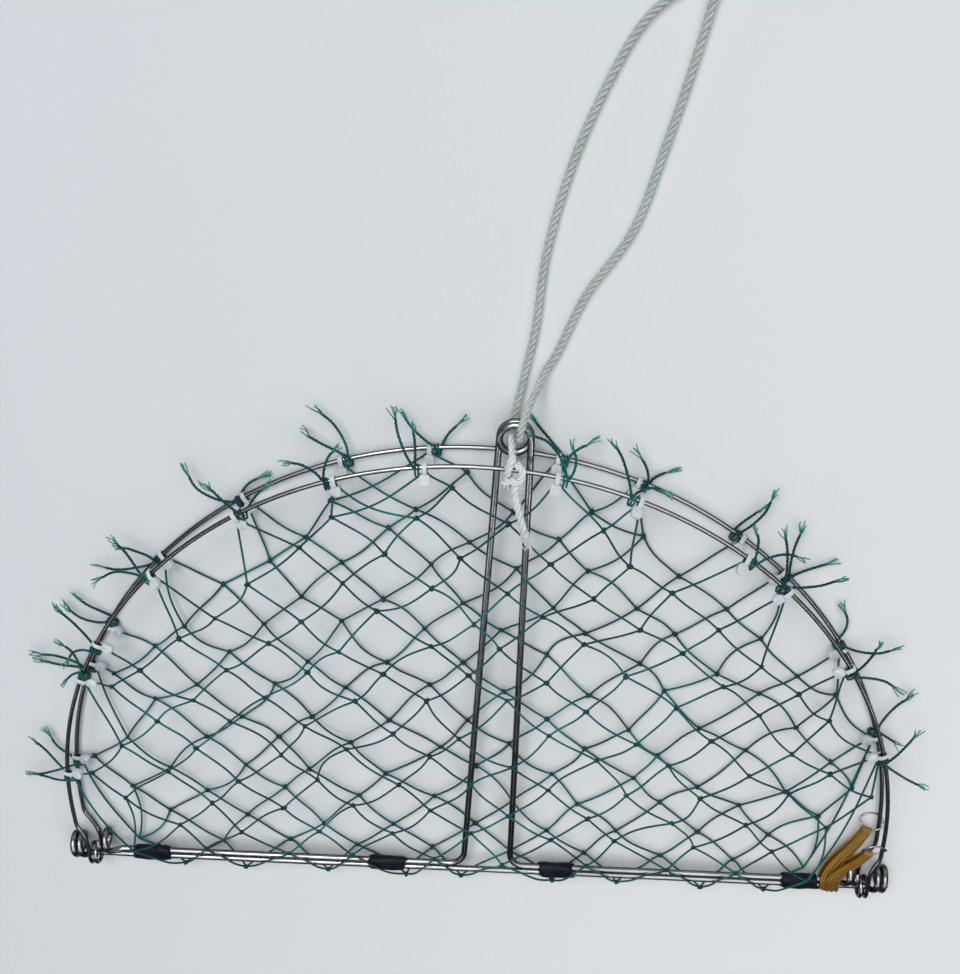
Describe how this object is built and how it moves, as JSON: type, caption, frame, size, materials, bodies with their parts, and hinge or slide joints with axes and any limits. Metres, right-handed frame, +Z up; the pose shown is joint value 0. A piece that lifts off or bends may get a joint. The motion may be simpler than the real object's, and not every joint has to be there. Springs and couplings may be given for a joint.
{
  "type": "crab trap",
  "caption": "Folding crab trap lying closed: two half-round netted wire hoops hinged on a base bar, a wire post with a wound eye between them, and a pull rope.",
  "frame": {"origin": "middle of the trap's footprint, on the surface it lies on, without the rope", "axes": "+X along the base bar, +Y from the base bar towards the post's eye, +Z up off the surface"},
  "size_m": [0.4742, 0.5675, 0.0337],
  "materials": {
    "stainless_wire": "bright drawn stainless wire",
    "sleeve_rubber": "smooth near-black navy",
    "net_twine": "waxed teal netting twine",
    "tie_nylon": "translucent white nylon",
    "band_rubber": "amber latex, slightly glossy",
    "rope_fibre": "laid grey-white polyethylene rope"
  },
  "bodies": {
    "rear_hoop": {"band_rear_1": "band_rubber", "band_rear_2": "band_rubber", "band_rear_3": "band_rubber", "band_ring_rear": "stainless_wire", "hoop_rear": "stainless_wire", "net_rear": "net_twine", "rope_coil": "rope_fibre", "rope_join_knot": "rope_fibre", "rope_knot_rear": "rope_fibre", "rope_line_front": "rope_fibre", "rope_line_rear": "rope_fibre", "rope_main": "rope_fibre", "tie_rear_01": "tie_nylon", "tie_rear_02": "tie_nylon", "tie_rear_03": "tie_nylon", "tie_rear_04": "tie_nylon", "tie_rear_05": "tie_nylon", "tie_rear_06": "tie_nylon", "tie_rear_07": "tie_nylon", "tie_rear_08": "tie_nylon", "tie_rear_09": "tie_nylon", "tie_rear_10": "tie_nylon", "tie_rear_11": "tie_nylon", "tie_rear_12": "tie_nylon", "tie_rear_13": "tie_nylon"},
    "post_unit": {"bar_sleeve_1": "sleeve_rubber", "bar_sleeve_2": "sleeve_rubber", "bar_sleeve_3": "sleeve_rubber", "bar_sleeve_4": "sleeve_rubber", "base_bar": "stainless_wire", "post_frame": "stainless_wire", "rope_lead_front": "rope_fibre", "rope_lead_rear": "rope_fibre"},
    "front_hoop": {"band_front_1": "band_rubber", "band_front_2": "band_rubber", "band_front_3": "band_rubber", "band_ring_front": "stainless_wire", "hoop_front": "stainless_wire", "net_front": "net_twine", "rope_knot_front": "rope_fibre", "rope_tail_front": "rope_fibre", "tie_front_01": "tie_nylon", "tie_front_02": "tie_nylon", "tie_front_03": "tie_nylon", "tie_front_04": "tie_nylon", "tie_front_05": "tie_nylon", "tie_front_06": "tie_nylon", "tie_front_07": "tie_nylon", "tie_front_08": "tie_nylon", "tie_front_09": "tie_nylon", "tie_front_10": "tie_nylon", "tie_front_11": "tie_nylon", "tie_front_12": "tie_nylon", "tie_front_13": "tie_nylon"}
  },
  "joints": [
    {"name": "post_hinge", "type": "hinge", "parent": "rear_hoop", "child": "post_unit", "pos_m": [0, -0.1386, 0.00795], "axis": [1, 0, 0], "range_deg": [0, 88.8]},
    {"name": "front_hoop_hinge", "type": "hinge", "parent": "post_unit", "child": "front_hoop", "pos_m": [0, -0.1386, 0.00795], "axis": [1, 0, 0], "range_deg": [0, 88.8]}
  ]
}
